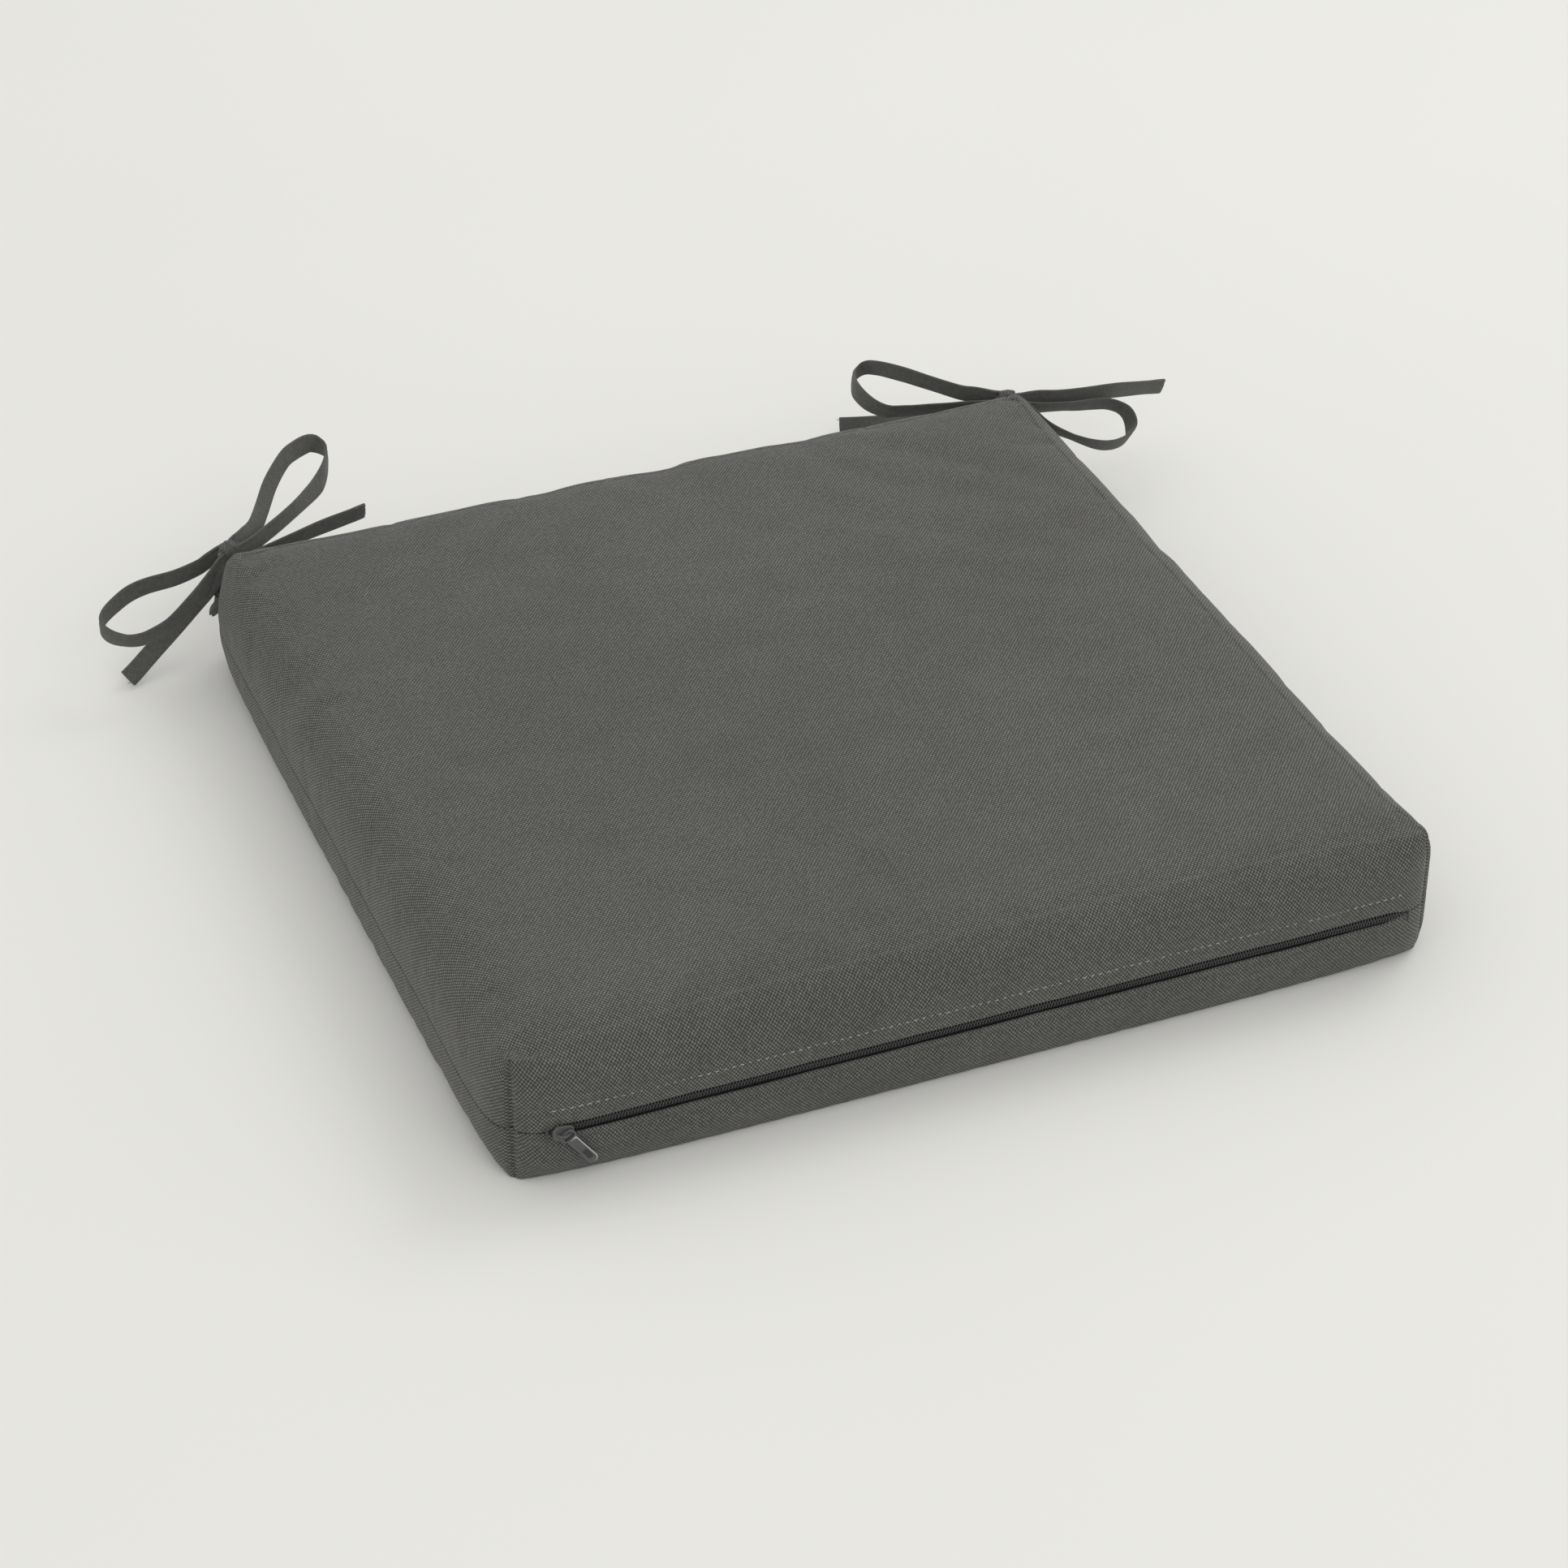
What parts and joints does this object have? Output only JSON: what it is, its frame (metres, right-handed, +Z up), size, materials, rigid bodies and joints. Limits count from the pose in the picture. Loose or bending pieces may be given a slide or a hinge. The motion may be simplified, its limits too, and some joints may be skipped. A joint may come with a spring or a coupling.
{
  "type": "chair seat pad",
  "caption": "Square tie-on chair seat pad: a foam cushion in a zipped woven cover with darted corners, and cloth ties tied in a bow at each back corner.",
  "frame": {"origin": "centre of the underside, where the pad rests", "axes": "+Z up, +X along the zipped front side, +Y towards the ties"},
  "size_m": [0.6232, 0.5685, 0.0684],
  "materials": {
    "cover_cloth": "charcoal plain-woven polyester, matte",
    "foam": "open-cell polyurethane foam, cream",
    "fibre_wrap": "polyester fibre wadding, white",
    "zipper_tape": "woven polyester tape, near black",
    "zipper_coil": "nylon coil, near black",
    "zipper_metal": "dark grey lacquered zinc",
    "thread": "grey polyester thread, a little lighter than the cloth",
    "tie_cloth": "folded and stitched strap of the cover's cloth"
  },
  "bodies": {
    "cushion": {"cover_top_panel": "cover_cloth", "cover_bottom_panel": "cover_cloth", "foam_core": "foam", "fibre_wrap_top": "fibre_wrap", "fibre_wrap_bottom": "fibre_wrap", "zipper_tape_upper": "zipper_tape", "zipper_tape_lower": "zipper_tape", "zipper_coil_upper": "zipper_coil", "zipper_coil_lower": "zipper_coil", "zipper_tack_left": "thread", "zipper_tack_right": "thread", "topstitch_upper": "thread", "topstitch_lower": "thread", "tie_left_knot": "tie_cloth", "tie_right_knot": "tie_cloth", "tie_left_stem": "tie_cloth", "tie_left_loop_upper": "tie_cloth", "tie_left_tail_right": "tie_cloth", "tie_left_loop_left": "tie_cloth", "tie_left_tail_left": "tie_cloth", "tie_right_stem": "tie_cloth", "tie_right_loop_left": "tie_cloth", "tie_right_tail_left": "tie_cloth", "tie_right_tail_right": "tie_cloth", "tie_right_loop_right": "tie_cloth"},
    "slider": {"zipper_slider": "zipper_metal"},
    "pull": {"zipper_pull": "zipper_metal"}
  },
  "joints": [
    {"name": "slider_travel", "type": "slide", "parent": "cushion", "child": "slider", "axis": [1, 0, 0], "range_m": [0, 0.414], "deforming": ["zipper_coil_upper", "zipper_coil_lower"]},
    {"name": "pull_flip", "type": "hinge", "parent": "slider", "child": "pull", "pos_m": [-0.20652, -0.2394, 0.02934], "axis": [-0.8192, 0, -0.5736], "range_deg": [0, 110]}
  ]
}
